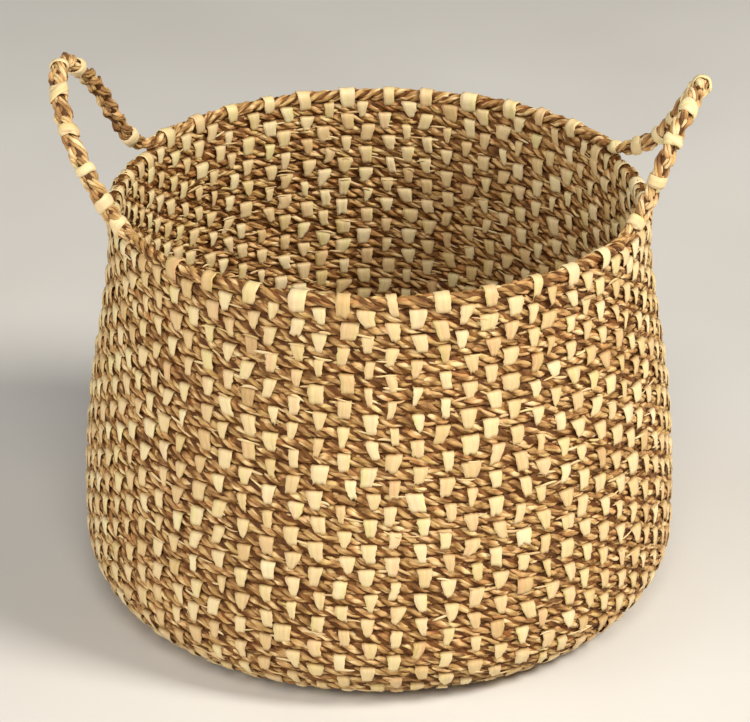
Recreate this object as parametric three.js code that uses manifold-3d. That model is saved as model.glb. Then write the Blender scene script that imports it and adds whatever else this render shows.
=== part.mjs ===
// A round storage basket of coiled seagrass rope, in millimetres, +Z up.
// The origin is the middle of the underside, on the floor that the basket stands on.
// One rope is wound from the middle of the base to the rim. Every turn is its own closed ring here.
// The top turn leaves the rim at four feet and rises into two hand loops, left (-X) and right (+X).
import * as THREE from "three";
import { mergeVertices } from "three/addons/utils/BufferGeometryUtils.js";
import Module from "manifold-3d";

const wasm = await Module();
wasm.setup();

// Driving dimensions of the coil.
const PITCH = 8.62; // from one turn of the coil to the next, along the basket's wall
const ROPE = PITCH / 2; // half the thickness of the coiled rope
const GAP = 0.3; // clear space between neighbouring turns
const RIM_HEIGHT = 280; // middle of the top turn above the floor
const RIM_RADIUS = 175; // middle of the top turn
const BELLY_RADIUS = 195.7; // middle of the widest turn
const CORNER = 38.7; // radius of the curve from the base into the wall
const TURNS = 50; // turns below the rim; what is left in the middle is the start of the coil
const FACETS = 24; // facets round each turn, with corners on the X and Y axes
const SHOULDER = 0.55 * ROPE; // half the width of the flat faces where turns meet
const START_EDGE = 1.5; // softened edge of the start of the coil

// The hand loops. Each route is the middle of the rope from the pivot at the front foot to the
// pivot at the back foot: outwards from the middle of the basket, along Y, and up. The loops lean
// out, their tops are pulled towards the front, and the right one droops at the back.
const LOOPS = {
  left: {
    side: -1,
    route: [
      [170, -73.5, 295],
      [179, -71, 311],
      [187.5, -65, 326],
      [196.5, -53, 344],
      [203, -36, 363],
      [204, -14, 373],
      [197.5, 11, 363],
      [185.5, 35, 339],
      [176.5, 52.5, 311],
      [170, 63, 295],
    ],
  },
  right: {
    side: 1,
    route: [
      [167, -69, 295],
      [173.5, -67, 309],
      [180, -61.5, 324],
      [188, -50.5, 340],
      [198, -34, 353],
      [208.5, -9, 359],
      [205, 16, 341],
      [198.5, 36, 319],
      [192, 50, 302],
      [184, 59, 291.5],
      [176, 62, 287],
    ],
  },
};
const LOOP_ROPE = 5.8; // half the thickness of the rope in a loop
const PIVOT_GAP = 0.5; // between the end of the rim's rope and the round end of the loop
const FOOT_REACH = 10; // degrees of the rim that the rope takes to rise into a loop
const WRAP_RISE = 27; // middle of each leaf wrap, along the loop from its pivot
const WRAP_WIDTH = 9;
const WRAP_THICKNESS = 1.1;
const WRAP_CLEARANCE = 0.8; // between the rope and the wrap, wide enough for the leg's curve
const ROPE_SIDES = 8;

// Worked out from the dimensions above.
const BASE_RADIUS = BELLY_RADIUS - CORNER; // the base is flat out to here
const BELLY_HEIGHT = ROPE + CORNER; // the wall starts here
const WALL_STEPS = 120;
const CORNER_STEPS = 60;

const rope = new THREE.MeshStandardMaterial({ color: 0x9b7444, roughness: 0.85, metalness: 0 });
const leaf = new THREE.MeshStandardMaterial({ color: 0xe3cf9c, roughness: 0.6, metalness: 0 });

const basket = new THREE.Group();

function addMesh(name, geometry, material) {
  const mesh = new THREE.Mesh(geometry, material);
  mesh.name = name;
  basket.add(mesh);
  return mesh;
}

// The basket's profile, walked along the middle of the rope from the rim to the middle of the
// base: a wall that eases out from the rim to the belly, a round corner, then the flat base.
function makeProfile() {
  const points = [];
  for (let i = 0; i <= WALL_STEPS; i++) {
    const down = i / WALL_STEPS;
    const ease = (1 - Math.cos(Math.PI * down)) / 2;
    const radius = RIM_RADIUS + (BELLY_RADIUS - RIM_RADIUS) * ease;
    points.push(new THREE.Vector2(radius, RIM_HEIGHT - (RIM_HEIGHT - BELLY_HEIGHT) * down));
  }
  for (let i = 1; i <= CORNER_STEPS; i++) {
    const turn = (Math.PI / 2) * (i / CORNER_STEPS);
    const radius = BASE_RADIUS + CORNER * Math.cos(turn);
    points.push(new THREE.Vector2(radius, BELLY_HEIGHT - CORNER * Math.sin(turn)));
  }
  points.push(new THREE.Vector2(0, ROPE));
  return points;
}

const profile = makeProfile();
const lengths = [0];
for (let i = 1; i < profile.length; i++) {
  lengths.push(lengths[i - 1] + profile[i].distanceTo(profile[i - 1]));
}

// The place on the profile at a given length below the rim.
function placeAt(length) {
  let i = 1;
  while (i < profile.length - 1 && lengths[i] < length) {
    i++;
  }
  const share = (length - lengths[i - 1]) / (lengths[i] - lengths[i - 1]);
  const along = profile[i].clone().sub(profile[i - 1]).normalize();
  const onBase = i === profile.length - 1;
  return {
    point: profile[i - 1].clone().lerp(profile[i], share),
    along,
    outward: new THREE.Vector2(-along.y, along.x),
    onBase,
    onCorner: !onBase && i > WALL_STEPS,
  };
}

// One turn of the coil. Its section has flat faces towards its neighbours and, on the wall and
// the corner, a ridge inside and outside. On the base it is square, so the underside is flat.
function turnGeometry(place) {
  const flat = place.onBase ? ROPE : SHOULDER;
  const bend = place.onCorner ? 1 / CORNER : 0;
  const halfAt = (out) => ROPE * (1 + out * bend) - GAP / 2;
  const section = [
    [-halfAt(flat), flat],
    [-halfAt(-flat), -flat],
    [halfAt(-flat), -flat],
    [halfAt(flat), flat],
  ];
  if (!place.onBase) {
    section.splice(2, 0, [0, -ROPE]);
    section.push([0, ROPE]);
  }
  const outline = section.map(([down, out]) =>
    place.point.clone().addScaledVector(place.along, down).addScaledVector(place.outward, out),
  );
  outline.push(outline[0].clone());
  return new THREE.LatheGeometry(outline, FACETS).rotateX(Math.PI / 2);
}

// The start of the coil, in the middle of the base: a flat disc with a softened upper edge.
function startGeometry(radius) {
  const outline = [
    new THREE.Vector2(0, 0),
    new THREE.Vector2(radius, 0),
    new THREE.Vector2(radius, 2 * ROPE - START_EDGE),
    new THREE.Vector2(radius - START_EDGE, 2 * ROPE),
    new THREE.Vector2(0, 2 * ROPE),
  ];
  return new THREE.LatheGeometry(outline, FACETS).rotateX(Math.PI / 2);
}

// A rope of round section swept along points, ending in flat faces.
function ropeGeometry(points, radius, steps) {
  const corners = [];
  for (let i = 0; i < ROPE_SIDES; i++) {
    const turn = (2 * Math.PI * (i + 0.5)) / ROPE_SIDES;
    corners.push(new THREE.Vector2(radius * Math.cos(turn), radius * Math.sin(turn)));
  }
  return new THREE.ExtrudeGeometry(new THREE.Shape(corners), {
    steps,
    bevelEnabled: false,
    extrudePath: new THREE.CatmullRomCurve3(points),
  });
}

function loopRoute(loop) {
  return loop.route.map(([out, y, z]) => new THREE.Vector3(loop.side * out, y, z));
}

// The pivot at one foot of a loop, and the way the rope leaves it. end is -1 at the front and 1 at
// the back.
function footOf(loop, end) {
  const route = loopRoute(loop);
  const [pivot, next] = end < 0 ? route : route.reverse();
  return { pivot, up: next.sub(pivot).normalize() };
}

function toSolid(geometry) {
  const bare = geometry.clone().deleteAttribute("normal").deleteAttribute("uv");
  const merged = mergeVertices(bare, 1e-4);
  return new wasm.Manifold(
    new wasm.Mesh({
      numProp: 3,
      vertProperties: merged.attributes.position.array,
      triVerts: new Uint32Array(merged.index.array),
    }),
  );
}

function toGeometry(solid) {
  const mesh = solid.getMesh();
  const geometry = new THREE.BufferGeometry();
  geometry.setAttribute("position", new THREE.BufferAttribute(mesh.vertProperties, 3));
  geometry.setIndex(new THREE.BufferAttribute(mesh.triVerts, 1));
  geometry.computeVertexNormals();
  return geometry;
}

// A hand loop: an arch of rope from pivot to pivot, with a ball on each pivot, so that the end
// turns in its own place when the loop flexes.
function loopGeometry(loop) {
  let solid = toSolid(ropeGeometry(loopRoute(loop), LOOP_ROPE, 34));
  for (const end of [-1, 1]) {
    const { pivot } = footOf(loop, end);
    const ball = new THREE.SphereGeometry(LOOP_ROPE, 10, 6).translate(pivot.x, pivot.y, pivot.z);
    solid = solid.add(toSolid(ball));
  }
  return toGeometry(solid);
}

// A leaf wrap: a ring round one leg of a hand loop.
function wrapGeometry() {
  const inner = LOOP_ROPE + WRAP_CLEARANCE;
  const outer = inner + WRAP_THICKNESS;
  const half = WRAP_WIDTH / 2;
  const outline = [
    new THREE.Vector2(inner, -half),
    new THREE.Vector2(outer, -half),
    new THREE.Vector2(outer, half),
    new THREE.Vector2(inner, half),
    new THREE.Vector2(inner, -half),
  ];
  return new THREE.LatheGeometry(outline, 12);
}

// Half of the top turn, at the front (-1) or the back (1). At each end its rope leaves the turn
// below, curves up and stops just under the pivot of a hand loop.
function rimGeometry(end) {
  const points = [];
  for (const loop of [LOOPS.left, LOOPS.right]) {
    const { pivot, up } = footOf(loop, end);
    const top = pivot.addScaledVector(up, -LOOP_ROPE - PIVOT_GAP);
    const footAngle = Math.atan2(end * Math.abs(top.y), loop.side * Math.abs(top.x));
    const away = -end * loop.side * THREE.MathUtils.degToRad(FOOT_REACH);
    const bend = rimPoint(footAngle - away * 0.12);
    const rise = new THREE.QuadraticBezierCurve3(top, bend, rimPoint(footAngle - away));
    const leg = rise.getPoints(6);
    points.push({ leg, angle: footAngle - away });
  }
  const [left, right] = points;
  const sweep = THREE.MathUtils.euclideanModulo(right.angle - left.angle, 2 * Math.PI);
  const turn = end < 0 ? sweep : sweep - 2 * Math.PI;
  const arc = [];
  const stations = 14;
  for (let i = 1; i < stations; i++) {
    arc.push(rimPoint(left.angle + (turn * i) / stations));
  }
  const route = [...left.leg, ...arc, ...right.leg.reverse()];
  return ropeGeometry(route, ROPE - GAP / 2, 48);
}

function rimPoint(angle) {
  return new THREE.Vector3(RIM_RADIUS * Math.cos(angle), RIM_RADIUS * Math.sin(angle), RIM_HEIGHT);
}

function twoDigits(number) {
  return String(number).padStart(2, "0");
}

// The coil, from the start in the middle of the base out to the turn under the rim.
const places = [];
for (let i = TURNS; i >= 1; i--) {
  places.push(placeAt(i * PITCH));
}
const startRadius = places[0].point.x - ROPE - GAP / 2;
addMesh("base_coil_start", startGeometry(startRadius), rope);
const counts = { base: 0, corner: 0, wall: 0 };
for (const place of places) {
  const zone = place.onBase ? "base" : place.onCorner ? "corner" : "wall";
  counts[zone] += 1;
  addMesh(`${zone}_coil_${twoDigits(counts[zone])}`, turnGeometry(place), rope);
}

addMesh("rim_coil_front", rimGeometry(-1), rope);
addMesh("rim_coil_back", rimGeometry(1), rope);

for (const [name, loop] of Object.entries(LOOPS)) {
  addMesh(`${name}_handle_loop`, loopGeometry(loop), rope);
  const curve = new THREE.CatmullRomCurve3(loopRoute(loop));
  const share = WRAP_RISE / curve.getLength();
  for (const [place, at] of [["front", share], ["back", 1 - share]]) {
    const wrap = addMesh(`${name}_handle_${place}_wrap`, wrapGeometry(), leaf);
    wrap.position.copy(curve.getPointAt(at));
    wrap.quaternion.setFromUnitVectors(new THREE.Vector3(0, 1, 0), curve.getTangentAt(at));
  }
}

export default basket;
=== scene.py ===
import math

import bpy
import numpy as np
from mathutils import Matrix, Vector


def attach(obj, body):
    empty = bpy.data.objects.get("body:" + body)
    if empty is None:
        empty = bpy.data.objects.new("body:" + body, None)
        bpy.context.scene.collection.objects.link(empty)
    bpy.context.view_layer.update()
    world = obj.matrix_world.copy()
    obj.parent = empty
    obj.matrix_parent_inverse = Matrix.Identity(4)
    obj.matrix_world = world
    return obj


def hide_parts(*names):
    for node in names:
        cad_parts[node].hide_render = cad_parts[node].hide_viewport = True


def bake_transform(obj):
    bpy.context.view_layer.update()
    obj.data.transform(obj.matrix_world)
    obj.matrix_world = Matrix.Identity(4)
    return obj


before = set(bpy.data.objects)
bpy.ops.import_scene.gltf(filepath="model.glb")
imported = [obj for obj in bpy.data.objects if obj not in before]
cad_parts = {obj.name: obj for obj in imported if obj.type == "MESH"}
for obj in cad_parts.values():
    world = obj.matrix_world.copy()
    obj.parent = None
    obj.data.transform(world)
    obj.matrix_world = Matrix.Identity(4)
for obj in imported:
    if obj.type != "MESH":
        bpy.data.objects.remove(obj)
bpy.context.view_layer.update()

scene = bpy.context.scene
MM = 0.001
TAU = 2 * math.pi
random = np.random.default_rng(7)


# ---------------------------------------------------------------------------- camera and studio
CAMERA_PLACE = Vector((0.0, -1.789, 1.035))
CAMERA_TARGET = Vector((0.0, 0.0, 0.140))
CAMERA_SHIFT = (-0.0054, 0.0264)
LENS = 141.6
SENSOR_WIDTH = 36.0
LIGHTS_TARGET = Vector((0.0, 0.0, 0.15))
LIGHTS = {  # place, size in metres, watts and colour
    "key": ((2.4, -1.1, 2.6), 1.1, 118, (1.0, 0.955, 0.87)),
    "front": ((0.1, -2.4, 2.7), 1.6, 52, (1.0, 0.96, 0.89)),
    "fill": ((-2.3, -1.5, 1.1), 2.0, 37, (1.0, 0.98, 0.94)),
}
SKY = (1.0, 0.97, 0.93, 1.0)
SKY_STRENGTH = 0.14


def aim(thing, target):
    thing.rotation_euler = (target - thing.location).to_track_quat("-Z", "Y").to_euler()


def add_camera():
    data = bpy.data.cameras.new("camera")
    data.lens = LENS
    data.sensor_width = SENSOR_WIDTH
    data.shift_x, data.shift_y = CAMERA_SHIFT
    camera = bpy.data.objects.new("camera", data)
    camera.location = CAMERA_PLACE
    aim(camera, CAMERA_TARGET)
    scene.collection.objects.link(camera)
    scene.camera = camera


def add_light(name, place, size, watts, colour):
    data = bpy.data.lights.new(name, "AREA")
    data.shape = "DISK"
    data.size = size
    data.energy = watts
    data.color = colour
    light = bpy.data.objects.new(name, data)
    light.location = place
    aim(light, LIGHTS_TARGET)
    scene.collection.objects.link(light)


def add_studio():
    for name, settings in LIGHTS.items():
        add_light(name, *settings)
    world = bpy.data.worlds.new("studio")
    world.use_nodes = True
    background = world.node_tree.nodes["Background"]
    background.inputs["Color"].default_value = SKY
    background.inputs["Strength"].default_value = SKY_STRENGTH
    scene.world = world
    scene.view_settings.view_transform = "Standard"


add_camera()
add_studio()


# ------------------------------------------------------------------------------------ materials
class Nodes:
    """Builds one material's node tree."""

    def __init__(self, name):
        self.material = bpy.data.materials.new(name)
        self.material.use_nodes = True
        self.tree = self.material.node_tree
        self.shader = self.tree.nodes["Principled BSDF"]

    def add(self, kind, inputs=None, **settings):
        node = self.tree.nodes.new(kind)
        for key, value in settings.items():
            setattr(node, key, value)
        for key, value in (inputs or {}).items():
            if isinstance(value, bpy.types.NodeSocket):
                self.tree.links.new(value, node.inputs[key])
            else:
                node.inputs[key].default_value = value
        return node

    def attribute(self, name):
        return self.add("ShaderNodeAttribute", attribute_name=name)

    def noise(self, vector, scale, detail=3.0, roughness=0.6):
        inputs = {"Vector": vector, "Scale": scale, "Detail": detail, "Roughness": roughness}
        return self.add("ShaderNodeTexNoise", inputs).outputs["Fac"]

    def math(self, operation, first, second, clamp=False):
        inputs = {0: first, 1: second}
        return self.add("ShaderNodeMath", inputs, operation=operation, use_clamp=clamp).outputs[0]

    def scaled(self, value, factor, added):
        inputs = {0: value, 1: factor, 2: added}
        return self.add("ShaderNodeMath", inputs, operation="MULTIPLY_ADD").outputs[0]

    def offset(self, vector, distance):
        inputs = {0: vector, 1: (distance, distance, distance)}
        return self.add("ShaderNodeVectorMath", inputs, operation="ADD").outputs[0]

    def ramp(self, factor, stops):
        node = self.add("ShaderNodeValToRGB", {"Fac": factor})
        elements = node.color_ramp.elements
        while len(elements) < len(stops):
            elements.new(0.5)
        for element, (position, colour) in zip(elements, stops):
            element.position = position
            element.color = (*colour, 1.0)
        return node.outputs["Color"]

    def mix(self, factor, first, second, blend_type="MIX"):
        node = self.add("ShaderNodeMix", data_type="RGBA", blend_type=blend_type)
        for key, value in ((0, factor), (6, first), (7, second)):
            if isinstance(value, bpy.types.NodeSocket):
                self.tree.links.new(value, node.inputs[key])
            elif key == 0:
                node.inputs[key].default_value = value
            else:
                node.inputs[key].default_value = (*value, 1.0)
        return node.outputs[2]

    def finish(self, colour, roughness, height, bump, **constants):
        links = self.tree.links
        links.new(colour, self.shader.inputs["Base Color"])
        links.new(roughness, self.shader.inputs["Roughness"])
        normal = self.add("ShaderNodeBump", {"Height": height, "Strength": 1.0, "Distance": bump})
        links.new(normal.outputs["Normal"], self.shader.inputs["Normal"])
        for key, value in constants.items():
            self.shader.inputs[key.replace("_", " ")].default_value = value
        return self.material


HUE_OFFSET = 40.0  # keeps the hues apart from the fibres, which use the same noise
# Stems run from olive through straw to ruddy brown, and leaves from green-gold to a warm buff.
STEM_HUES = [
    (0.30, (0.92, 0.95, 0.77)),
    (0.44, (1.00, 0.99, 0.93)),
    (0.56, (1.00, 1.00, 1.00)),
    (0.70, (1.00, 0.82, 0.72)),
]
LEAF_HUES = [
    (0.30, (0.94, 1.00, 0.80)),
    (0.44, (1.00, 1.00, 0.92)),
    (0.58, (1.00, 0.99, 0.98)),
    (0.72, (1.00, 0.88, 0.86)),
]


# How each material varies: the detail and roughness of its fibres, the scale of its patches and
# hues, how far its fibres and patches change its tone, and how rough and uneven its surface is.
STEM = {
    "fibres": (4.0, 0.65),
    "patch_scale": 0.18,
    "hue_scale": 0.13,
    "hues": STEM_HUES,
    "streak": 0.55,
    "patch": 0.35,
    "roughness": (0.25, 0.42),
    "bump": 0.5 * MM,
    "specular": 0.2,
}
LEAF_STRIP = {
    "fibres": (3.0, 0.6),
    "patch_scale": 0.3,
    "hue_scale": 0.12,
    "hues": LEAF_HUES,
    "streak": 0.45,
    "patch": 0.4,
    "roughness": (0.2, 0.36),
    "bump": 0.25 * MM,
    "specular": 0.3,
}


def dried_material(name, kind, crevice_shade, stops):
    """Dry grass stems or palm leaf. tone is the own colour of each stem or strip. The shade value
    is 0 in the crevices, where the colour is darkened as painted shade, and 1 where no shade is
    painted. grain runs along the fibres in x and across them in y and z."""
    nodes = Nodes(name)
    tone = nodes.attribute("tone").outputs["Fac"]
    unshaded = nodes.attribute("unshaded").outputs["Fac"]
    grain = nodes.attribute("grain").outputs["Vector"]
    fibres = nodes.noise(grain, 1.0, *kind["fibres"])
    patches = nodes.noise(grain, kind["patch_scale"], 2.0, 0.5)
    streak = nodes.math("MULTIPLY", nodes.math("SUBTRACT", fibres, 0.5), kind["streak"])
    patch = nodes.math("MULTIPLY", nodes.math("SUBTRACT", patches, 0.5), kind["patch"])
    value = nodes.math("ADD", nodes.math("ADD", tone, streak), patch, clamp=True)
    colour = nodes.ramp(value, stops)
    hue = nodes.noise(nodes.offset(grain, HUE_OFFSET), kind["hue_scale"], 1.0, 0.5)
    colour = nodes.mix(1.0, colour, nodes.ramp(hue, kind["hues"]), "MULTIPLY")
    # Painted shade: where the shade value falls towards 0, the colour is multiplied by the crevice
    # colour.
    shaded = nodes.mix(unshaded, nodes.mix(1.0, colour, crevice_shade, "MULTIPLY"), colour)
    roughness = nodes.scaled(fibres, *kind["roughness"])
    return nodes.finish(
        shaded, roughness, fibres, kind["bump"], Specular_IOR_Level=kind["specular"]
    )


# The third argument of each material is the colour of its painted crevice shade.
seagrass = dried_material(
    "seagrass",
    STEM,
    (0.50, 0.34, 0.19),
    [
        (0.0, (0.180, 0.082, 0.026)),
        (0.3, (0.400, 0.215, 0.078)),
        (0.6, (0.660, 0.410, 0.168)),
        (1.0, (0.920, 0.710, 0.390)),
    ],
)
plait = dried_material(
    "plaited_seagrass",
    STEM,
    (0.34, 0.25, 0.16),
    [
        (0.0, (0.200, 0.095, 0.036)),
        (0.3, (0.460, 0.255, 0.100)),
        (0.6, (0.740, 0.480, 0.210)),
        (1.0, (0.960, 0.780, 0.460)),
    ],
)
palm = dried_material(
    "palm_leaf",
    LEAF_STRIP,
    (0.42, 0.30, 0.18),
    [
        (0.0, (0.460, 0.270, 0.115)),
        (0.35, (0.690, 0.465, 0.225)),
        (0.65, (0.810, 0.630, 0.350)),
        (1.0, (0.890, 0.760, 0.480)),
    ],
)


# -------------------------------------------------------------------------------- building pieces
FLOOR_SOFT = 1.2 * MM  # height below which the stems and leaves flatten


class Batch:
    """Collects tubes of quads, with the values that the materials read, into one mesh."""

    def __init__(self):
        self.points = []
        self.faces = []
        self.tone = []
        self.unshaded = []
        self.grain = []
        self.count = 0

    def tubes(self, points, tone, unshaded, grain, ring):
        """Adds tubes. points is tube x step x side x 3. A ring closes on its first step, and
        any other tube has an end cap, which needs an even number of sides. What would reach
        into the floor is pressed flat on it."""
        height = points[..., 2]
        pressed = FLOOR_SOFT * np.exp(np.minimum(height / FLOOR_SOFT - 1, 0))
        points = points.copy()
        points[..., 2] = np.where(height < FLOOR_SOFT, pressed, height)
        tubes, steps, sides = points.shape[:3]
        step = np.arange(steps if ring else steps - 1)[:, None]
        side = np.arange(sides)[None, :]
        after = (step + 1) % steps
        beside = (side + 1) % sides
        corners = [step * sides + side, step * sides + beside]
        corners += [after * sides + beside, after * sides + side]
        quads = np.stack(np.broadcast_arrays(*corners), -1).reshape(-1, 4)
        if not ring:
            half = np.arange(sides // 2 - 1)
            cap = np.stack([half, sides - 1 - half, sides - 2 - half, half + 1], -1)
            quads = np.concatenate([quads, cap, cap[:, ::-1] + (steps - 1) * sides])
        first = self.count + np.arange(tubes) * steps * sides
        self.faces.append((quads[None] + first[:, None, None]).reshape(-1, 4))
        shape = points.shape[:3]
        self.points.append(points.reshape(-1, 3))
        self.tone.append(np.broadcast_to(tone, shape).reshape(-1))
        self.unshaded.append(np.broadcast_to(unshaded, shape).reshape(-1))
        self.grain.append(np.broadcast_to(grain, (*shape, 3)).reshape(-1, 3))
        self.count += tubes * steps * sides

    def build(self, name, material):
        points = np.concatenate(self.points)
        faces = np.concatenate(self.faces)
        mesh = bpy.data.meshes.new(name)
        mesh.vertices.add(len(points))
        mesh.vertices.foreach_set("co", points.astype(np.float32).ravel())
        mesh.loops.add(faces.size)
        mesh.loops.foreach_set("vertex_index", faces.astype(np.int32).ravel())
        mesh.polygons.add(len(faces))
        mesh.polygons.foreach_set("loop_start", np.arange(0, faces.size, 4, dtype=np.int32))
        mesh.polygons.foreach_set("use_smooth", np.ones(len(faces), dtype=bool))
        mesh.update(calc_edges=True)
        for key, kind, values in (
            ("tone", "FLOAT", self.tone),
            ("unshaded", "FLOAT", self.unshaded),
            ("grain", "FLOAT_VECTOR", self.grain),
        ):
            layer = mesh.attributes.new(key, kind, "POINT")
            data = np.concatenate(values).astype(np.float32).ravel()
            layer.data.foreach_set("vector" if kind == "FLOAT_VECTOR" else "value", data)
        mesh.materials.append(material)
        piece = bpy.data.objects.new(name, mesh)
        scene.collection.objects.link(piece)
        return piece


def wander(turn, slowest, fastest, shape=()):
    """Smooth random variation over a closed turn, about -1 to 1, one row for each of shape."""
    waves = np.arange(slowest, fastest + 1)
    phase = random.uniform(0, TAU, (*shape, len(waves)))
    size = random.normal(0, 1, (*shape, len(waves))) / math.sqrt(len(waves))
    angle = turn[:, None] * waves + phase[..., None, :]
    return (np.cos(angle) * size[..., None, :]).sum(-1)


# ------------------------------------------------------------------------------ rows of the coil
def section_of(node):
    """The middle of a turn's section, as radius and height, from its corners on the X axis."""
    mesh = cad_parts[node].data
    corners = {
        (round(v.co.x, 5), round(v.co.z, 5))
        for v in mesh.vertices
        if v.co.x > 0 and abs(v.co.y) < 1e-5
    }
    return np.mean(sorted(corners), axis=0)


coils = sorted(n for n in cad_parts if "_coil_" in n and n[-2:].isdigit())
coils = [n for zone in ("base", "corner", "wall") for n in coils if n.startswith(zone)]
middles = [section_of(n) for n in coils]
middles.append(2 * middles[-1] - middles[-2])  # the rim is one more turn up
PITCH = float(np.linalg.norm(middles[-2] - middles[-3]))
ROPE = PITCH / 2
RIM = len(middles) - 1


# Hand work is never quite round: waves round the wall, each with its size, its phase at the
# floor and the phase it gains by the rim, and the way the wall's profile differs from an even one.
LIFT_SHARE = 0.6  # of a wave's size, upwards and downwards
WAVES = {2: (1.2, 0.6, 0.9), 3: (0.9, 2.1, -1.6), 5: (0.6, 4.4, 2.3), 7: (0.35, 1.3, 3.1)}
PROFILE = [(0.0, 0.0), (0.15, 0.0), (0.3, 0.6), (0.55, 2.0), (0.72, 0.3), (0.88, -2.0), (1.0, 0.0)]


def uneven(angle, height):
    """How far the basket is out of round, outwards and upwards. The rim and base are true."""
    level = np.clip(height / middles[-1][1], 0, 1)
    share = math.sin(math.pi * level)
    bulge = np.interp(level, *np.array(PROFILE).T)
    lift = 0.0
    for waves, (size, phase, gain) in WAVES.items():
        turned = waves * angle + phase + gain * level
        bulge = bulge + size * share * np.cos(turned)
        lift = lift + LIFT_SHARE * size * share * np.sin(turned + waves)
    return bulge * MM, lift * MM


class Turn:
    """One turn of the coil. out points away from the basket's inside and up towards the rim,
    both in the plane of the section."""

    def __init__(self, index):
        self.radius, self.height = middles[index]
        below = middles[max(index - 1, 0)]
        above = middles[min(index + 1, RIM)]
        rise = (above - below) / np.linalg.norm(above - below)
        self.up = rise
        self.out = np.array([rise[1], -rise[0]])
        self.length = TAU * self.radius

    def place(self, angle, out, up):
        """Points at an angle round the basket and an offset in the section."""
        bulge, lift = uneven(angle, self.height)
        radius = self.radius + self.out[0] * out + self.up[0] * up + bulge
        height = self.height + self.out[1] * out + self.up[1] * up + lift
        flat = np.broadcast_arrays(radius * np.cos(angle), radius * np.sin(angle), height)
        return np.stack(flat, -1)

    def frame(self, angle):
        """The middle of the rope and its out and up directions at each angle."""
        middle = self.place(angle, 0.0, 0.0)
        return middle, self.place(angle, 1.0, 0.0) - middle, self.place(angle, 0.0, 1.0) - middle


turns = [Turn(i) for i in range(len(middles))]


# ------------------------------------------------------------------------------------- the rope
STEP = 3.0 * MM
PLIES = 3
STEMS = 4  # in each ply
STEM_SIDES = 6
STEM_FLAT = 0.9 * MM  # half a stem's thickness
STEM_WIDE = 1.3 * MM  # half a stem's width
PLY_LAY = 30 * MM  # length of rope in which a ply goes once round
STEM_LAY = 23 * MM  # length of rope in which a stem goes once round its ply, the other way
CORE_OUT = 2.75 * MM  # half the width of the stems in the middle of the rope
CORE_UP = 5.2 * MM  # and half their height, where they fill the space between rows
RIM_CORE_UP = 3.6 * MM
CORE_SIDES = 12
CORE_RIDGE = 0.13
PLY_REACH = (2.0 * MM, 2.45 * MM)  # from the middle of the rope to a ply's, out and up
STEM_REACH = (0.95 * MM, 1.25 * MM)  # from the middle of a ply to a stem's, thick and wide
ROPE_STRAY = (0.35 * MM, 0.25 * MM)  # how far the rope wanders from its route, out and up
STEM_STRAY = 0.3 * MM
PLY_LOOSE = 0.42  # radians by which the lay of a ply wanders
STEM_LOOSE = 0.8
STEM_OUTER = 0.25  # how much thicker a stem is on the outside of its ply
STEM_UNEVEN = 0.32
LEAST_STEM, MOST_STEM = 0.3, 1.7  # a stem's size where it is thinnest and thickest
HAND_LENGTH = 26 * MM  # length of rope over which the work varies
ROPE_TONE = 0.47
TONE_ALONG = 0.34  # how far the tone wanders along a stem, and differs by turn and by stem
TONE_TURN = 0.04
TONE_STEM = 0.12
ROPE_SHADE = (2.1 * MM, 1.5 * MM)  # where the painted shade of the crevices ends, and over what distance
CRACK_SHADE = (0.6 * MM, 1.8 * MM)  # the same painted shade for the cracks between rows
# The core is painted dark, darker in its grooves and mostly in crevice shade: painted shade between
# the stems. Its streaks are its own colour.
CORE_SHADE_TONE = 0.2
CORE_STREAK = 0.25
CORE_GROOVE_SHADE = 0.15
CORE_UNSHADED = 0.15
GRAIN_ALONG = 0.12  # fibre noise for each mm along a stem
GRAIN_ROUND = 3.5  # and round it
GRAIN_RANGE = 900  # the fibres of each stem or strip start anywhere in this


def squared(angle, power=3.0):
    """Unit directions, pushed out at the diagonals, so that a rope's section is a soft square."""
    cosine, sine = np.cos(angle), np.sin(angle)
    size = (np.abs(cosine) ** power + np.abs(sine) ** power) ** (-1 / power)
    return cosine * size, sine * size


def stem_grain(along, length, side, count):
    """The coordinates that give stems their lengthwise fibres."""
    grain = np.empty((count, len(along), len(side), 3))
    grain[..., 0] = (along / TAU * length / MM * GRAIN_ALONG)[:, None]
    grain[..., 0] += random.uniform(0, GRAIN_RANGE, (count, 1, 1))
    grain[..., 1] = GRAIN_ROUND * np.cos(side)
    grain[..., 2] = GRAIN_ROUND * np.sin(side)
    return grain


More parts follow.
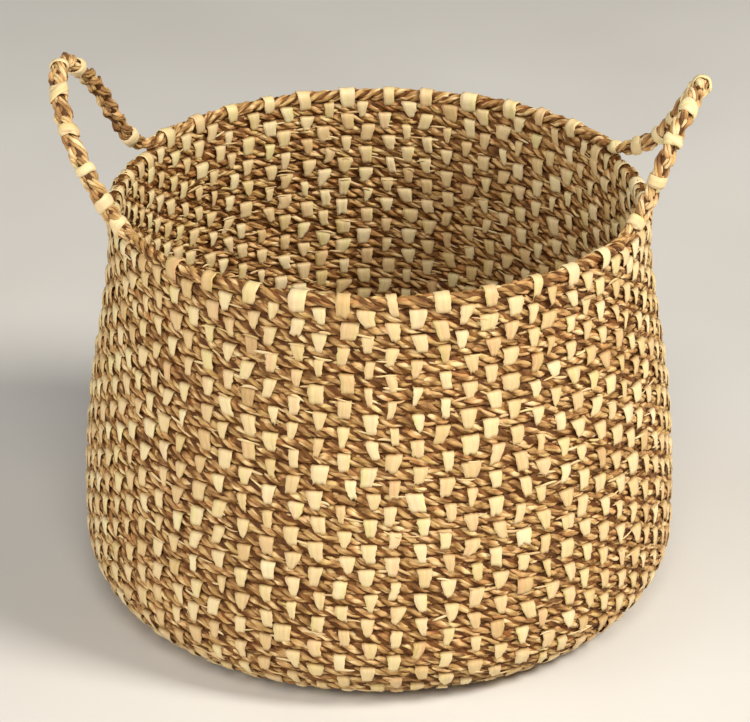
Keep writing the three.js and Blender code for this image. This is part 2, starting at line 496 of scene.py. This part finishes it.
def twist(batch, frames, length, ring, pressed, swell=1.0):
    """A rope of plies twisted round a core that is painted dark, as painted shade between the
    stems. ring closes it on itself, pressed says that turns above and below cover its upper and
    lower faces, and swell scales it along its length."""
    middle, out, up = frames
    steps = len(middle)
    along = np.linspace(0, TAU, steps, endpoint=not ring)
    rounds = max(3, round(length / PLY_LAY))
    turns_in_ply = max(3, round(length / STEM_LAY))
    busy = max(6, round(length / HAND_LENGTH))
    swell = np.broadcast_to(swell, steps)[:, None, None]
    shake = wander(along, 2, busy // 2, (2,))
    middle = middle + out * (shake[0] * ROPE_STRAY[0])[:, None]
    middle = middle + up * (shake[1] * ROPE_STRAY[1])[:, None]
    start = np.arange(PLIES) / PLIES * TAU + random.uniform(0, TAU)
    loose = wander(along, busy // 3, busy, (PLIES,)) * PLY_LOOSE
    lay = np.repeat(start[:, None] - rounds * along + loose, STEMS, axis=0)
    half = np.tile(np.arange(STEMS) / STEMS * TAU, PLIES)[:, None]
    loose = np.repeat(wander(along, busy // 3, busy, (PLIES,)) * STEM_LOOSE, STEMS, axis=0)
    turn_in_ply = half + turns_in_ply * along + loose
    count = PLIES * STEMS
    size = 1 + STEM_OUTER * np.cos(turn_in_ply)
    size = size + STEM_UNEVEN * wander(along, busy, 3 * busy, (count,))
    size = np.clip(size, LEAST_STEM, MOST_STEM)[..., None]
    side = (np.arange(STEM_SIDES) + 0.5) / STEM_SIDES * TAU
    thick = STEM_FLAT * size * np.cos(side)
    wide = STEM_WIDE * size * np.sin(side)
    ahead, aside = squared(lay)
    cosine, sine = np.cos(lay)[..., None], np.sin(lay)[..., None]
    stray = wander(along, busy, 3 * busy, (count,)) * STEM_STRAY
    radial = (STEM_REACH[0] * np.cos(turn_in_ply) + stray)[..., None] + thick
    sideways = STEM_REACH[1] * np.sin(turn_in_ply)[..., None] + wide
    section_out = PLY_REACH[0] * ahead[..., None] + radial * cosine - sideways * sine
    section_up = PLY_REACH[1] * aside[..., None] + radial * sine + sideways * cosine
    points = middle[:, None] + out[:, None] * (section_out[..., None] * swell)
    points = points + up[:, None] * (section_up[..., None] * swell)
    # Painted shade: stems darken towards the middle of the rope and, where rows press together, in
    # the cracks between them.
    unshaded = (np.hypot(section_out, section_up) - ROPE_SHADE[0]) / ROPE_SHADE[1]
    if pressed:
        unshaded = np.minimum(unshaded, (np.abs(section_out) - CRACK_SHADE[0]) / CRACK_SHADE[1])
    tone = ROPE_TONE + TONE_ALONG * wander(along, busy // 2, 3 * busy, (count,))
    tone = tone + random.normal(0, TONE_TURN) + random.normal(0, TONE_STEM, (count, 1))
    grain = stem_grain(along, length, side, count)
    batch.tubes(points, tone[..., None], np.clip(unshaded, 0, 1), grain, ring)
    around = np.arange(CORE_SIDES) / CORE_SIDES * TAU
    core_side = around - rounds * along[:, None]
    ridge = 1 + CORE_RIDGE * (-1) ** np.arange(CORE_SIDES)
    core_out = np.cos(core_side) * ridge * CORE_OUT
    core_up = np.sin(core_side) * ridge * (CORE_UP if pressed else RIM_CORE_UP)
    core = middle[:, None] + out[:, None] * core_out[..., None] * swell
    core = core + up[:, None] * core_up[..., None] * swell
    # Painted shade: the core is dark, and darker still on its grooved sides. The streaks are its
    # own colour.
    core_shade_and_streaks = CORE_SHADE_TONE + CORE_STREAK * wander(along, busy, 3 * busy)[:, None]
    core_shade_and_streaks = core_shade_and_streaks - CORE_GROOVE_SHADE * (ridge < 1)
    batch.tubes(core[None], core_shade_and_streaks, CORE_UNSHADED, stem_grain(along, length, around, 1), ring)


def ride_on_basket(piece, *nodes):
    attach(piece, "basket")
    if nodes:
        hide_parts(*nodes)


def add_turn(index):
    turn = turns[index]
    steps = max(24, round(turn.length / STEP))
    angle = np.linspace(0, TAU, steps, endpoint=False) + random.uniform(0, TAU)
    batch = Batch()
    twist(batch, turn.frame(angle), turn.length, True, True)
    name = coils[index].replace("coil", "rope")
    ride_on_basket(batch.build(name, seagrass), coils[index])


for index in range(RIM):
    add_turn(index)


START_ANGLE = 0.6  # where the coil begins, in radians of its spiral
START_STEPS = 60


def add_start():
    """The first turns of the coil, wound from the middle of the base."""
    last = turns[0].radius - PITCH
    turn = np.linspace(START_ANGLE, last / PITCH * TAU, START_STEPS)
    around = np.stack([np.cos(turn), np.sin(turn), 0 * turn], -1)
    route = around * (turn / TAU * PITCH)[:, None] + [0, 0, turns[0].height]
    length = np.linalg.norm(np.diff(route, axis=0), axis=1).sum()
    batch = Batch()
    down = np.broadcast_to([0.0, 0.0, -1.0], route.shape)
    twist(batch, (route, down, around), length, False, True)
    ride_on_basket(batch.build("base_rope_start", seagrass), "base_coil_start")


add_start()


# --------------------------------------------------------------------------------- leaf stitches
SPACING = 30.5 * MM  # from one stitch to the next round a turn of the base
WALL_STITCHES = 37  # in each turn of the corner and wall
WALL_FROM = 160 * MM
RIM_PHASE = 0.053  # of a stitch, from the X axis to the first wrap on the rim
STITCH_WIDTH = 8.5 * MM
LEAF = 0.5 * MM  # thickness
ACROSS = 5  # points across a strip
SIDE_TONE = {1: 0.62, -1: 0.72}  # tone of the leaf outside and inside. The inside is painted lighter, as painted light for the inside of the basket
# How far one strip differs from the next.
WIDTH_SPREAD = 0.17
LEAST_WIDTH, MOST_WIDTH = 0.62, 1.45
REACH_SPREAD = 0.8 * MM
LEAN_SPREAD = 0.09
CURL = 0.15 * MM
FOLD = 0.18 * MM
RAGGED = 0.22 * MM
CROWN = 0.22 * MM
TORN = 1.0 * MM
TONE_SPREAD = 0.15
PLACE_SPREAD = 1.5 * MM
SLIVER_LENGTH = (3 * MM, 7 * MM)
SLIVER_WIDTH = (0.5 * MM, 1.2 * MM)
SLIVER_STEPS = 9
SLIVER_OUT = 4.1 * MM
SLIVER_RAISED = 0.5 * MM
SLIVER_THICK = 0.22 * MM
SLIVER_BOW = 0.5 * MM
SLIVER_STRAY = 0.9 * MM
SLIVER_TONE = (0.25, 0.75)
LEAF_GRAIN_ALONG = 0.10  # vein noise for each mm along a strip
LEAF_GRAIN_ACROSS = 1.5  # and across it
END_SHADE_LENGTH = 3.0 * MM  # length over which a strip's ends are painted dark where they go into the cracks: painted shade
END_SHADE_FROM = 0.35
# Where a stitch runs in the section, out and up from the middle of its turn, in mm: out of the
# crack above, down the face of its own turn and into the turn below. share is its width there.
STITCH_PATH = [
    (1.0, 4.5, 0.94),
    (3.2, 4.5, 1.00),
    (4.3, 4.0, 1.03),
    (4.6, 2.6, 0.98),
    (4.7, 0.8, 0.91),
    (4.65, -1.2, 0.83),
    (4.4, -3.0, 0.74),
    (4.25, -4.6, 0.65),
    (4.2, -6.0, 0.56),
    (3.4, -7.4, 0.48),
    (1.6, -7.8, 0.44),
]
# A wrap goes over the top of the highest turn and into the turn below on both sides.
WRAP_PATH = [
    (1.8, -7.6, 0.55),
    (3.7, -7.0, 0.62),
    (4.4, -5.6, 0.74),
    (4.6, -3.8, 0.86),
    (4.9, -1.4, 0.95),
    (4.8, 1.2, 1.00),
    (4.0, 3.4, 1.00),
    (2.3, 4.9, 1.00),
    (0.0, 5.35, 1.00),
]
WRAP_PATH += [(-out, up, share) for out, up, share in WRAP_PATH[-2::-1]]


def strips(batch, turn, angles, path, width, side, taper=(0.3, 1.5), skew=1.0 * MM):
    """Leaf strips over a turn at the given angles, on its outer (1) or inner (-1) side."""
    count = len(angles)
    route = np.array(path)
    out, up = route[:, 0] * MM, route[:, 1] * MM
    length = np.concatenate([[0], np.cumsum(np.hypot(np.diff(out), np.diff(up)))])
    run_out, run_up = np.gradient(out, length), np.gradient(up, length)
    narrowing = 1 - route[:, 2]
    share = 1 - narrowing * random.uniform(*taper, (count, 1))
    spread = random.normal(1, WIDTH_SPREAD, (count, 1))
    width = width * np.clip(spread, LEAST_WIDTH, MOST_WIDTH)
    half = (share * width / 2)[..., None]
    drop = (up < 0) * (up / up.min())
    reach = up + drop * random.normal(0, REACH_SPREAD, (count, 1))
    lean = random.normal(0, LEAN_SPREAD, (count, 1, 1)) * (reach[..., None] - up[0])
    slide = random.normal(0, 1, (count, 1, 1)) * skew * drop[:, None]
    line = np.linspace(-1, 1, ACROSS)
    across = np.concatenate([line, line[::-1]])
    face = np.repeat([0.5, -0.5], ACROSS)
    curl = random.normal(0, CURL, (count, 1, 1)) * across
    fold = random.normal(0, FOLD, (count, 1, ACROSS))
    fold = np.concatenate([fold, fold[..., ::-1]], -1)
    edge = random.normal(0, RAGGED, (count, len(up), 2))
    crown = CROWN * (1 - across**2) * np.sin(np.linspace(0, math.pi, len(up)))[:, None]
    lift = face * LEAF + crown + curl + fold
    path_out = side * (out[:, None] - run_up[:, None] * lift)
    torn = random.normal(0, TORN, (count, 1, ACROSS)) * random.uniform(0, 1, (count, 1, 1)) ** 2
    torn = np.concatenate([torn, torn[..., ::-1]], -1) * (drop**2)[:, None]
    path_up = reach[..., None] + run_out[:, None] * lift + torn
    ragged = edge[..., :1] * (1 + across) / 2 + edge[..., 1:] * (1 - across) / 2
    sideways = side * (half * across + ragged + lean + slide)
    angle = np.reshape(angles, (-1, 1, 1)) + sideways / (turn.radius + turn.out[0] * path_out)
    points = turn.place(angle, path_out, path_up)
    # The inside strips are painted lighter: painted light for the inside of the basket.
    tone = np.clip(random.normal(SIDE_TONE[side], TONE_SPREAD, (count, 1, 1)), 0.1, 1.0)
    # Painted shade: a strip darkens towards its ends, where it goes into the cracks.
    end_unshaded = np.minimum(length, length[-1] - length) / END_SHADE_LENGTH - END_SHADE_FROM
    end_unshaded = np.clip(end_unshaded, 0, 1)[:, None]
    grain = np.empty(points.shape)
    grain[..., 0] = (length / MM * LEAF_GRAIN_ALONG)[:, None]
    grain[..., 1] = half / MM * across * LEAF_GRAIN_ACROSS
    grain[..., 2] = random.uniform(0, GRAIN_RANGE, (count, 1, 1))
    batch.tubes(points, tone, end_unshaded, grain, False)


def stitch_angles(turn, first):
    """Where a turn is sewn. The wall keeps one number of stitches, so they stay staggered."""
    count = WALL_STITCHES if turn.radius > WALL_FROM else max(5, round(turn.length / SPACING))
    even = (np.arange(count) + first) / count * TAU
    return even + random.normal(0, PLACE_SPREAD / turn.radius, count)


def slivers(batch, turn, count, side):
    """Loose ends of leaf that lie along the crack under a turn."""
    share = np.linspace(-1, 1, SLIVER_STEPS)[None, :, None]
    around = np.arange(STEM_SIDES) / STEM_SIDES * TAU
    shape = (count, 1, 1)
    length = random.uniform(*SLIVER_LENGTH, shape)
    width = random.uniform(*SLIVER_WIDTH, shape) * np.sqrt(np.clip(1.02 - share**2, 0, 1))
    bow = random.normal(0, SLIVER_BOW, shape) * (1 - share**2)
    up = -ROPE + random.normal(0, SLIVER_STRAY, shape)
    up = up + random.normal(-0.5, 0.8, shape) * share * MM
    up = up + bow + width * np.sin(around)
    out = SLIVER_OUT + random.uniform(0, SLIVER_RAISED, shape)
    out = side * (out + SLIVER_THICK * np.cos(around))
    angle = random.uniform(0, TAU, shape) + side * share * length / turn.radius
    points = turn.place(angle, out, up)
    grain = np.empty(points.shape)
    grain[..., 0] = share * length / MM * LEAF_GRAIN_ALONG
    grain[..., 1] = width / MM * np.sin(around) * LEAF_GRAIN_ACROSS
    grain[..., 2] = random.uniform(0, GRAIN_RANGE, shape)
    batch.tubes(points, random.uniform(*SLIVER_TONE, shape), 1.0, grain, False)


STITCHED_TURNS = 3  # turns whose stitches make one piece
start = RIM_PHASE + (RIM + 1) / 2
groups = {}
for index in range(RIM):
    zone = coils[index].split("_")[0]
    groups.setdefault(zone, []).append(index)
for zone, members in groups.items():
    for number, first in enumerate(range(0, len(members), STITCHED_TURNS), 1):
        batch = Batch()
        for index in members[first : first + STITCHED_TURNS]:
            start -= 0.5
            angles = stitch_angles(turns[index], start)
            for side in (1, -1):
                strips(batch, turns[index], angles, STITCH_PATH, STITCH_WIDTH, side)
                slivers(batch, turns[index], len(angles) // 2, side)
        name = f"{zone}_stitches_{number:02d}"
        ride_on_basket(batch.build(name, palm))


# ------------------------------------------------------------------------ the rim and the loops
# Each route is the middle of the rope from the pivot at the front foot to the pivot at the back
# foot, as in the CAD part: outwards, along Y and up, in mm. bindings are the places of the leaf
# bands, in mm of rope from the front pivot.
LOOPS = {
    "left": {
        "side": -1,
        "route": [
            (170, -73.5, 295),
            (179, -71, 311),
            (187.5, -65, 326),
            (196.5, -53, 344),
            (203, -36, 363),
            (204, -14, 373),
            (197.5, 11, 363),
            (185.5, 35, 339),
            (176.5, 52.5, 311),
            (170, 63, 295),
        ],
        "bindings": (-9, 9, 34, 59, 86, 111, 144, 236),
    },
    "right": {
        "side": 1,
        "route": [
            (167, -69, 295),
            (173.5, -67, 309),
            (180, -61.5, 324),
            (188, -50.5, 340),
            (198, -34, 353),
            (208.5, -9, 359),
            (205, 16, 341),
            (198.5, 36, 319),
            (192, 50, 302),
            (184, 59, 291.5),
            (176, 62, 287),
        ],
        "bindings": (-9, 20, 47, 74, 102, 136, 172, 198, 219, 236),
    },
}
LOOP_ROPE = 5.8 * MM  # half the thickness of the rope in the CAD part
FOOT_REACH = math.radians(10)  # how far from its foot the rope leaves the rim
FOOT_BEND = 0.12  # share of that way, from the foot, where the rope turns up
FOOT_STEPS = 12
LEAN = math.radians(30)  # of the loops, outwards
RIM_STEPS = 120  # of each half, before it is divided evenly
RIM_TIP = 0.55  # size of the rim's rope where it goes into a loop
RIM_TAPER = 18 * MM


def curve_through(points, steps=12):
    """A smooth curve through points."""
    points = np.array(points)
    points = np.concatenate([[2 * points[0] - points[1]], points, [2 * points[-1] - points[-2]]])
    share = np.arange(steps)[:, None] / steps
    curve = []
    for a, b, c, d in zip(points, points[1:], points[2:], points[3:]):
        cubic = (3 * b - a - 3 * c + d) * share**3 + (2 * a - 5 * b + 4 * c - d) * share**2
        curve.append((cubic + (c - a) * share + 2 * b) / 2)
    return np.concatenate([*curve, points[-2:-1]])


def loop_route(loop):
    return curve_through([(loop["side"] * x * MM, y * MM, z * MM) for x, y, z in loop["route"]])


def rim_point(angle):
    turn = turns[RIM]
    return np.array([turn.radius * math.cos(angle), turn.radius * math.sin(angle), turn.height])


def foot_route(loop, end):
    """The rope's way from the rim up to the pivot of a loop, at the front (-1) or back (1), and
    the angle at which it leaves the rim."""
    route = loop_route(loop)[::-end]
    rise = route[1] - route[0]
    top = route[0] - rise / np.linalg.norm(rise) * LOOP_ROPE
    foot = math.atan2(top[1], top[0])
    away = -end * loop["side"] * FOOT_REACH
    leave, bend = rim_point(foot - away), rim_point(foot - away * FOOT_BEND)
    share = np.linspace(0, 1, FOOT_STEPS)[:, None]
    route = leave * (1 - share) ** 2 + 2 * bend * share * (1 - share) + top * share**2
    return route, foot - away


def even_steps(points, step):
    """The same route with points at even steps, and its length."""
    lengths = np.concatenate([[0], np.cumsum(np.linalg.norm(np.diff(points, axis=0), axis=1))])
    count = max(4, round(lengths[-1] / step))
    at = np.linspace(0, lengths[-1], count)
    return np.stack([np.interp(at, lengths, points[:, k]) for k in range(3)], -1), lengths[-1]


def smooth(points, times):
    points = points.copy()
    for _ in range(times):
        points[1:-1] = (points[:-2] + 2 * points[1:-1] + points[2:]) / 4
    return points


def frames_along(points, out):
    """Directions across a route: nearly out, and square to it."""
    run = np.gradient(points, axis=0)
    run /= np.linalg.norm(run, axis=1)[:, None]
    up = np.cross(out, run)
    up /= np.linalg.norm(up, axis=1)[:, None]
    return points, np.cross(run, up), up


def add_rim(name, end):
    """Half of the top turn, from the foot of one loop to the foot of the other."""
    left, left_angle = foot_route(LOOPS["left"], end)
    right, right_angle = foot_route(LOOPS["right"], end)
    sweep = (right_angle - left_angle) % TAU
    if end > 0:
        sweep -= TAU
    steps = range(1, RIM_STEPS)
    arc = np.array([rim_point(left_angle + sweep * k / RIM_STEPS) for k in steps])
    route, length = even_steps(np.concatenate([left[8::-1], arc, right[:9]]), STEP)
    route = smooth(route, 6)
    away = route * [1, 1, 0]
    middle, out, up = frames_along(route, away / np.linalg.norm(away, axis=1)[:, None])
    share = np.linspace(0, length, len(route))
    ends = np.clip(np.minimum(share, length - share) / RIM_TAPER, 0, 1)
    batch = Batch()
    facing = np.sign(up[len(up) // 2, 2])
    swell = RIM_TIP + (1 - RIM_TIP) * ends
    twist(batch, (middle, out, up * facing), length, False, False, swell)
    ride_on_basket(batch.build(name, seagrass), "rim_coil_" + name.split("_")[-1])
    return sorted([left_angle, left_angle + sweep])


rim_spans = [add_rim("rim_rope_front", -1), add_rim("rim_rope_back", 1)]


def on_rim(angle):
    return any((angle - low) % TAU < high - low for low, high in rim_spans)


LOOP_PLAIT = 42 * MM  # length in which a strand of a loop's plait crosses over and back
STRANDS = 3
STRAND_STEMS = 5
STRAND_SWAY = (2.6 * MM, 1.8 * MM)  # how far a strand goes out and up as it crosses the others
STRAND_ROUND = 1.75 * MM  # from the middle of a strand to the middle of its stems
STRAND_LAY = 38 * MM
PLAIT_STEM = 1.2 * MM
PLAIT_UNEVEN = 0.28
PLAIT_SIZES = (0.45, 1.5)  # of its stems, at the thinnest and the thickest
PLAIT_SHADE = (1.6 * MM, 1.9 * MM)  # where the painted shade between the strands ends, and over what distance
PLAIT_CORE = (3.4 * MM, 2.9 * MM)
# The plait's core is painted dark and fully in crevice shade: painted shade between the strands.
PLAIT_CORE_SHADE_TONE = 0.1
SWAY_LOOSE = 0.25
ROLL_LOOSE = 0.5
FRONT_TONE = 0.55  # of a loop's front foot
TONE_FALL = 0.24  # how far the tone falls along each loop from its front foot, so that the back leg is darker
PLAIT_TONE_ALONG = 0.3
PLAIT_TONE_STEM = 0.14
FOOT_SIZE = 0.72  # of the plait at its feet
ARCH_GAIN = 0.44  # and how much it gains over the first part of each leg
LEG_TAPER = 24 * MM
WAIST = 0.14  # how far a band draws the plait in
WAIST_LENGTH = 6 * MM
BAND_WIDTH = 8.4 * MM
BAND_REACH = (5.3 * MM, 4.7 * MM)  # from the middle of the plait, out and up
BAND_LAYERS = (0.0, 0.45 * MM)
BAND_STEPS = 20
BAND_WIDTHS = (0.85, 1.1)  # how far the width differs by band, and by layer
LAYER_WIDTHS = (0.6, 0.95)
BAND_TILT = 1.5 * MM
BAND_WAVE = (0.06, 0.4 * MM, 0.35 * MM)  # of a band's width, its place and its height
BAND_CROWN = 0.5 * MM
BAND_FOLD = 0.16 * MM
BAND_TONE = (0.72, 0.1)  # and its spread
BAND_GRAIN = 0.7  # vein noise for each radian round a band


def plaited(batch, frames, length, swell):
    """A plait of three strands of stems."""
    middle, out, up = frames
    steps = len(middle)
    along = np.linspace(0, TAU, steps)
    crossings = length / LOOP_PLAIT
    busy = max(6, round(length / HAND_LENGTH))
    strand = np.repeat(np.arange(STRANDS), STRAND_STEMS)[:, None]
    stem = np.tile(np.arange(STRAND_STEMS), STRANDS)[:, None]
    sway = crossings * along + strand / STRANDS * TAU
    loose = wander(along, 2, busy, (STRANDS,)) * SWAY_LOOSE
    sway = sway + np.repeat(loose, STRAND_STEMS, axis=0)
    roll = stem / STRAND_STEMS * TAU + length / STRAND_LAY * along
    count = STRANDS * STRAND_STEMS
    loose = wander(along, 2, busy, (STRANDS,)) * ROLL_LOOSE
    roll = roll + np.repeat(loose, STRAND_STEMS, axis=0)
    size = 1 + PLAIT_UNEVEN * wander(along, busy, 3 * busy, (count,))
    size = np.clip(size, *PLAIT_SIZES)[..., None]
    side = (np.arange(STEM_SIDES) + 0.5) / STEM_SIDES * TAU
    section_out = STRAND_SWAY[0] * np.sin(sway) + STRAND_ROUND * np.cos(roll)
    section_up = STRAND_SWAY[1] * np.sin(2 * sway) + STRAND_ROUND * np.sin(roll)
    section_out = section_out[..., None] + PLAIT_STEM * size * np.cos(side)
    section_up = section_up[..., None] + PLAIT_STEM * size * np.sin(side)
    swell = swell[:, None]
    points = middle[:, None] + out[:, None] * (section_out * swell)[..., None]
    points = points + up[:, None] * (section_up * swell)[..., None]
    # Painted shade: stems darken towards the middle of the plait.
    unshaded = (np.hypot(section_out, section_up) - PLAIT_SHADE[0]) / PLAIT_SHADE[1]
    tone = FRONT_TONE - TONE_FALL * along / TAU
    tone = tone + PLAIT_TONE_ALONG * wander(along, busy // 3, 2 * busy, (count,))
    tone = tone + random.normal(0, PLAIT_TONE_STEM, (count, 1))
    grain = stem_grain(along, length, side, count)
    batch.tubes(points, tone[..., None], np.clip(unshaded, 0, 1), grain, False)
    core_side = np.arange(STEM_SIDES) / STEM_SIDES * TAU
    core_out = np.cos(core_side) * PLAIT_CORE[0]
    core_up = np.sin(core_side) * PLAIT_CORE[1]
    core = middle[:, None] + out[:, None] * core_out[:, None] * swell[..., None]
    core = core + up[:, None] * core_up[:, None] * swell[..., None]
    # The core is painted dark, as painted shade between the strands.
    batch.tubes(core[None], PLAIT_CORE_SHADE_TONE, 0.0, np.zeros(3), False)


def band(batch, middle, out, up, reach_out, reach_up, width):
    """A leaf bound round a rope. reach is from the middle of the rope to the leaf."""
    run = np.cross(out, up)
    turn = np.linspace(0, TAU, BAND_STEPS, endpoint=False)[:, None]
    line = np.linspace(-1, 1, ACROSS)
    across = np.concatenate([line, line[::-1]])
    face = np.repeat([0.5, -0.5], ACROSS)
    waves = wander(turn[:, 0], 1, 4, (3,))[..., None]
    width = width * (1 + BAND_WAVE[0] * waves[0])
    tilt = random.normal(0, BAND_TILT) * np.sin(turn + random.uniform(0, TAU))
    tilt = tilt + waves[1] * BAND_WAVE[1]
    fold = random.normal(0, BAND_FOLD, (1, ACROSS))
    fold = np.concatenate([fold, fold[:, ::-1]], -1)
    lift = face * LEAF + BAND_CROWN * (1 - across**2) + waves[2] * BAND_WAVE[2] + fold
    ahead = (reach_out + lift) * np.cos(turn)
    aside = (reach_up + lift) * np.sin(turn)
    points = middle + out * ahead[..., None] + up * aside[..., None]
    points = points + run * (across * width / 2 + tilt)[..., None]
    grain = np.empty(points.shape)
    grain[..., 0] = turn * BAND_GRAIN
    grain[..., 1] = across * width / 2 / MM * LEAF_GRAIN_ACROSS
    grain[..., 2] = random.uniform(0, GRAIN_RANGE)
    tone = np.clip(random.normal(*BAND_TONE), 0, 1)
    batch.tubes(points[None], tone, 1.0, grain[None], True)


def add_loop(name, loop):
    """The plaited rope of a hand loop, from rim to rim, and the leaf bound round it."""
    side = loop["side"]
    front, back = foot_route(loop, -1)[0], foot_route(loop, 1)[0]
    arch = loop_route(loop)
    route, length = even_steps(np.concatenate([front[3:], arch, back[:2:-1]]), STEP)
    facing = np.array([[side * math.cos(LEAN), 0.0, -math.sin(LEAN)]])
    middle, out, up = frames_along(smooth(route, 8), facing)
    place = np.linspace(0, length, len(route))
    ends = np.clip(np.minimum(place, length - place) / LEG_TAPER, 0, 1)
    pivot = place[np.argmin(np.linalg.norm(middle - arch[0], axis=1))]
    bound = pivot + np.array(loop["bindings"]) * MM
    nearest = np.abs(place[:, None] - bound).min(1)
    waist = 1 - WAIST * np.exp(-((nearest / WAIST_LENGTH) ** 2))
    swell = (FOOT_SIZE + ARCH_GAIN * ends) * waist
    batch = Batch()
    plaited(batch, (middle, out, up), length, swell)
    rope = batch.build(name + "_handle_plait", plait)
    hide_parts(name + "_handle_loop")
    batch = Batch()
    for distance in bound:
        at = int(np.argmin(np.abs(place - distance)))
        grow = swell[at]
        width = BAND_WIDTH * random.uniform(*BAND_WIDTHS)
        for layer in BAND_LAYERS:
            reach = [size * grow + layer for size in BAND_REACH]
            layer_width = width * random.uniform(*LAYER_WIDTHS)
            band(batch, middle[at], out[at], up[at], *reach, layer_width)
    bands = batch.build(name + "_handle_bindings", palm)
    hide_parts(name + "_handle_front_wrap", name + "_handle_back_wrap")
    for piece in (rope, bands):
        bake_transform(piece)


for name, loop in LOOPS.items():
    add_loop(name, loop)


# Wraps go over the rim, and under the loops over the turn below it.
WRAP_WIDTH = 8.8 * MM
WRAP_TAPER = (0.4, 0.9)
WRAP_SKEW = 0.3 * MM
wraps = Batch()
rim_angles = stitch_angles(turns[RIM], RIM_PHASE)
for covered, index in ((True, RIM), (False, RIM - 1)):
    angles = np.array([a for a in rim_angles if on_rim(a) == covered])
    strips(wraps, turns[index], angles, WRAP_PATH, WRAP_WIDTH, 1, WRAP_TAPER, WRAP_SKEW)
ride_on_basket(wraps.build("rim_wraps", palm))


# ------------------------------------------------------------------------------------- the floor
FLOOR_HALF = 6.0
FLOOR_CORNERS = [(-1, -1), (1, -1), (1, 1), (-1, 1)]


def floor_material():
    nodes = Nodes("pale_floor")
    place = nodes.add("ShaderNodeTexCoord").outputs["Object"]
    mottle = nodes.noise(place, 3.0, 2.0, 0.5)
    colour = nodes.ramp(mottle, [(0.3, (0.70, 0.68, 0.65)), (0.7, (0.76, 0.745, 0.72))])
    return nodes.finish(colour, nodes.scaled(mottle, 0.2, 0.6), mottle, 0.2 * MM)


floor = bpy.data.meshes.new("floor")
corners = [(x * FLOOR_HALF, y * FLOOR_HALF, 0) for x, y in FLOOR_CORNERS]
floor.from_pydata(corners, [], [(0, 1, 2, 3)])
floor.materials.append(floor_material())
ground = bpy.data.objects.new("floor", floor)
scene.collection.objects.link(ground)
